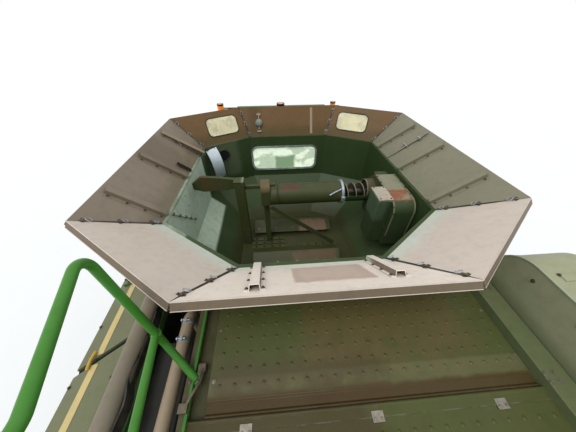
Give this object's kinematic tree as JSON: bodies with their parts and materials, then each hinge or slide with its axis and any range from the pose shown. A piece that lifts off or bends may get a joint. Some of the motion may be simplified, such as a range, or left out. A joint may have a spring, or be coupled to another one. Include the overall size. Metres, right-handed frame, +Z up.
{
  "type": "combine harvester with opened grain tank extension",
  "caption": "Self-propelled combine harvester with cab, feeder house, rear-wheel steering and a grain tank whose hinged sheet extension stands open.",
  "frame": {"origin": "on the ground below the middle of the overall length and width", "axes": "+Y forwards to the feeder house, +X to the machine's right, +Z up"},
  "size_m": [3.66, 8, 4.1636],
  "materials": {
    "green_paint": "dusty green paint",
    "dark_green": "dark green paint",
    "deck_green": "dusty dark olive sheet with raised dimples",
    "tank_green": "worn light green tank paint",
    "taupe_sheet": "dusty brown sheet",
    "pale_sheet": "pale dusty sheet",
    "shield_paint": "grey-green dusty paint with a yellow stripe",
    "yellow_paint": "weathered yellow paint",
    "taupe_pipe": "dusty brown pipe",
    "black_paint": "glossy black",
    "dark_steel": "dark painted steel",
    "bare_steel": "worn steel",
    "engine_grey": "cast engine",
    "tyre_rubber": "dusty black rubber",
    "clear_glass": "dusty glass",
    "amber_plexiglass": "yellowed translucent sheet",
    "seat_cloth": "black cloth",
    "roof_plastic": "green moulded roof",
    "lamp_amber": "amber lamp"
  },
  "bodies": {
    "machine": {"chassis_frame": "dark_green", "separator_body": "green_paint", "straw_hood": "green_paint", "grain_tank": "tank_green", "extension_front": "taupe_sheet", "extension_front_corners": "taupe_sheet", "extension_windows": "amber_plexiglass", "extension_sides": "taupe_sheet", "extension_rear_corners": "pale_sheet", "extension_rear": "pale_sheet", "tank_window": "clear_glass", "auger_covers": "dark_green", "tank_cross_tube": "dark_green", "loading_auger": "dark_green", "engine_deck": "deck_green", "engine_block": "engine_grey", "cooling_housing": "green_paint", "flank_frames": "dark_green", "top_shields": "shield_paint", "side_pipe": "taupe_pipe", "well_tank": "black_paint", "deck_handrail": "green_paint", "rear_ladder": "green_paint", "auger_turret": "green_paint", "cab_frame": "green_paint", "cab_roof": "roof_plastic", "cab_glass": "clear_glass", "operator_seat": "seat_cloth", "steering_console": "black_paint", "operator_platform": "green_paint", "rear_axle": "dark_green", "lamps": "lamp_amber", "mirrors": "dark_steel", "exhaust_stack": "bare_steel"},
    "chopper": {"chopper_rotor": "bare_steel"},
    "rotary_screen": {"rotary_screen": "dark_steel"},
    "rear_cover": {"rear_cover": "deck_green"},
    "unloading_auger": {"unloading_auger": "green_paint"},
    "cab_door": {"cab_door": "green_paint", "cab_door_glass": "clear_glass"},
    "front_ladder": {"front_ladder": "green_paint"},
    "feeder_house": {"feeder_house": "green_paint"},
    "lift_barrels": {"lift_barrels": "dark_green"},
    "lift_rods": {"lift_rods": "bare_steel"},
    "tie_rod": {"tie_rod": "bare_steel"},
    "side_shield_left_front": {"side_shield_left_front": "green_paint"},
    "side_shield_left_rear": {"side_shield_left_rear": "green_paint"},
    "side_shield_right_front": {"side_shield_right_front": "green_paint"},
    "side_shield_right_rear": {"side_shield_right_rear": "green_paint"},
    "front_wheel_left": {"front_rim_left": "yellow_paint", "front_tyre_left": "tyre_rubber"},
    "rear_wheel_left": {"rear_rim_left": "yellow_paint", "rear_tyre_left": "tyre_rubber"},
    "rear_knuckle_left": {"rear_knuckle_left": "dark_green"},
    "front_wheel_right": {"front_rim_right": "yellow_paint", "front_tyre_right": "tyre_rubber"},
    "rear_wheel_right": {"rear_rim_right": "yellow_paint", "rear_tyre_right": "tyre_rubber"},
    "rear_knuckle_right": {"rear_knuckle_right": "dark_green"}
  },
  "joints": [
    {"name": "front_wheel_left_roll", "type": "hinge", "parent": "machine", "child": "front_wheel_left", "pos_m": [-1.445, 1.3, 0.925], "axis": [1, 0, 0], "continuous": true},
    {"name": "rear_steer_left", "type": "hinge", "parent": "machine", "child": "rear_knuckle_left", "pos_m": [-0.9, -2.3, 0.64], "axis": [0, 0, 1], "range_deg": [-35, 35]},
    {"name": "rear_wheel_left_roll", "type": "hinge", "parent": "rear_knuckle_left", "child": "rear_wheel_left", "pos_m": [-1.18, -2.3, 0.64], "axis": [1, 0, 0], "continuous": true},
    {"name": "front_wheel_right_roll", "type": "hinge", "parent": "machine", "child": "front_wheel_right", "pos_m": [1.445, 1.3, 0.925], "axis": [1, 0, 0], "continuous": true},
    {"name": "rear_steer_right", "type": "hinge", "parent": "machine", "child": "rear_knuckle_right", "pos_m": [0.9, -2.3, 0.64], "axis": [0, 0, 1], "range_deg": [-35, 35]},
    {"name": "rear_wheel_right_roll", "type": "hinge", "parent": "rear_knuckle_right", "child": "rear_wheel_right", "pos_m": [1.18, -2.3, 0.64], "axis": [1, 0, 0], "continuous": true},
    {"name": "tie_rod_pivot", "type": "hinge", "parent": "rear_knuckle_left", "child": "tie_rod", "pos_m": [-0.9, -2.52, 0.5], "axis": [0, 0, 1], "range_deg": [-35, 35]},
    {"name": "feeder_lift", "type": "hinge", "parent": "machine", "child": "feeder_house", "pos_m": [0, 1.75, 1.72], "axis": [1, 0, 0], "range_deg": [-8, 12]},
    {"name": "lift_barrel_swing", "type": "hinge", "parent": "machine", "child": "lift_barrels", "pos_m": [0, 1.56, 0.83], "axis": [1, 0, 0], "range_deg": [-7.5, 11]},
    {"name": "lift_rod_slide", "type": "slide", "parent": "lift_barrels", "child": "lift_rods", "axis": [0, 1, 0], "range_m": [-0.13, 0.19]},
    {"name": "unloading_auger_swing", "type": "hinge", "parent": "machine", "child": "unloading_auger", "pos_m": [-1.45, 0.95, 2.72], "axis": [0, 0, -1], "range_deg": [0, 95]},
    {"name": "cab_door_swing", "type": "hinge", "parent": "machine", "child": "cab_door", "pos_m": [-0.892, 2.006, 2.6], "axis": [0, 0, 1], "range_deg": [0, 90]},
    {"name": "front_ladder_swing", "type": "hinge", "parent": "machine", "child": "front_ladder", "pos_m": [-1.7, 2.88, 1.7], "axis": [0, 0, 1], "range_deg": [0, 90]},
    {"name": "rear_cover_lift", "type": "hinge", "parent": "machine", "child": "rear_cover", "pos_m": [0.2, -1.632, 3.3], "axis": [-1, 0, 0], "range_deg": [0, 70]},
    {"name": "side_shield_left_front_lift", "type": "hinge", "parent": "machine", "child": "side_shield_left_front", "pos_m": [-1.27, -1, 2.506], "axis": [0, 1, 0], "range_deg": [0, 80]},
    {"name": "side_shield_left_rear_lift", "type": "hinge", "parent": "machine", "child": "side_shield_left_rear", "pos_m": [-1.27, -1, 2.506], "axis": [0, 1, 0], "range_deg": [0, 80]},
    {"name": "side_shield_right_front_lift", "type": "hinge", "parent": "machine", "child": "side_shield_right_front", "pos_m": [1.27, -1, 2.506], "axis": [0, -1, 0], "range_deg": [0, 80]},
    {"name": "side_shield_right_rear_lift", "type": "hinge", "parent": "machine", "child": "side_shield_right_rear", "pos_m": [1.27, -1, 2.506], "axis": [0, -1, 0], "range_deg": [0, 80]},
    {"name": "rotary_screen_spin", "type": "hinge", "parent": "machine", "child": "rotary_screen", "pos_m": [1.64, -1.725, 3.13], "axis": [1, 0, 0], "continuous": true},
    {"name": "chopper_spin", "type": "hinge", "parent": "machine", "child": "chopper", "pos_m": [0, -3.48, 1.76], "axis": [1, 0, 0], "continuous": true}
  ],
  "couplings": [
    {"joint": "rear_steer_right", "follows": "rear_steer_left", "ratio": 1},
    {"joint": "tie_rod_pivot", "follows": "rear_steer_left", "ratio": -1},
    {"joint": "lift_barrel_swing", "follows": "feeder_lift", "ratio": 0.8525},
    {"joint": "lift_rod_slide", "follows": "feeder_lift", "m_per_rad": 0.8813}
  ]
}
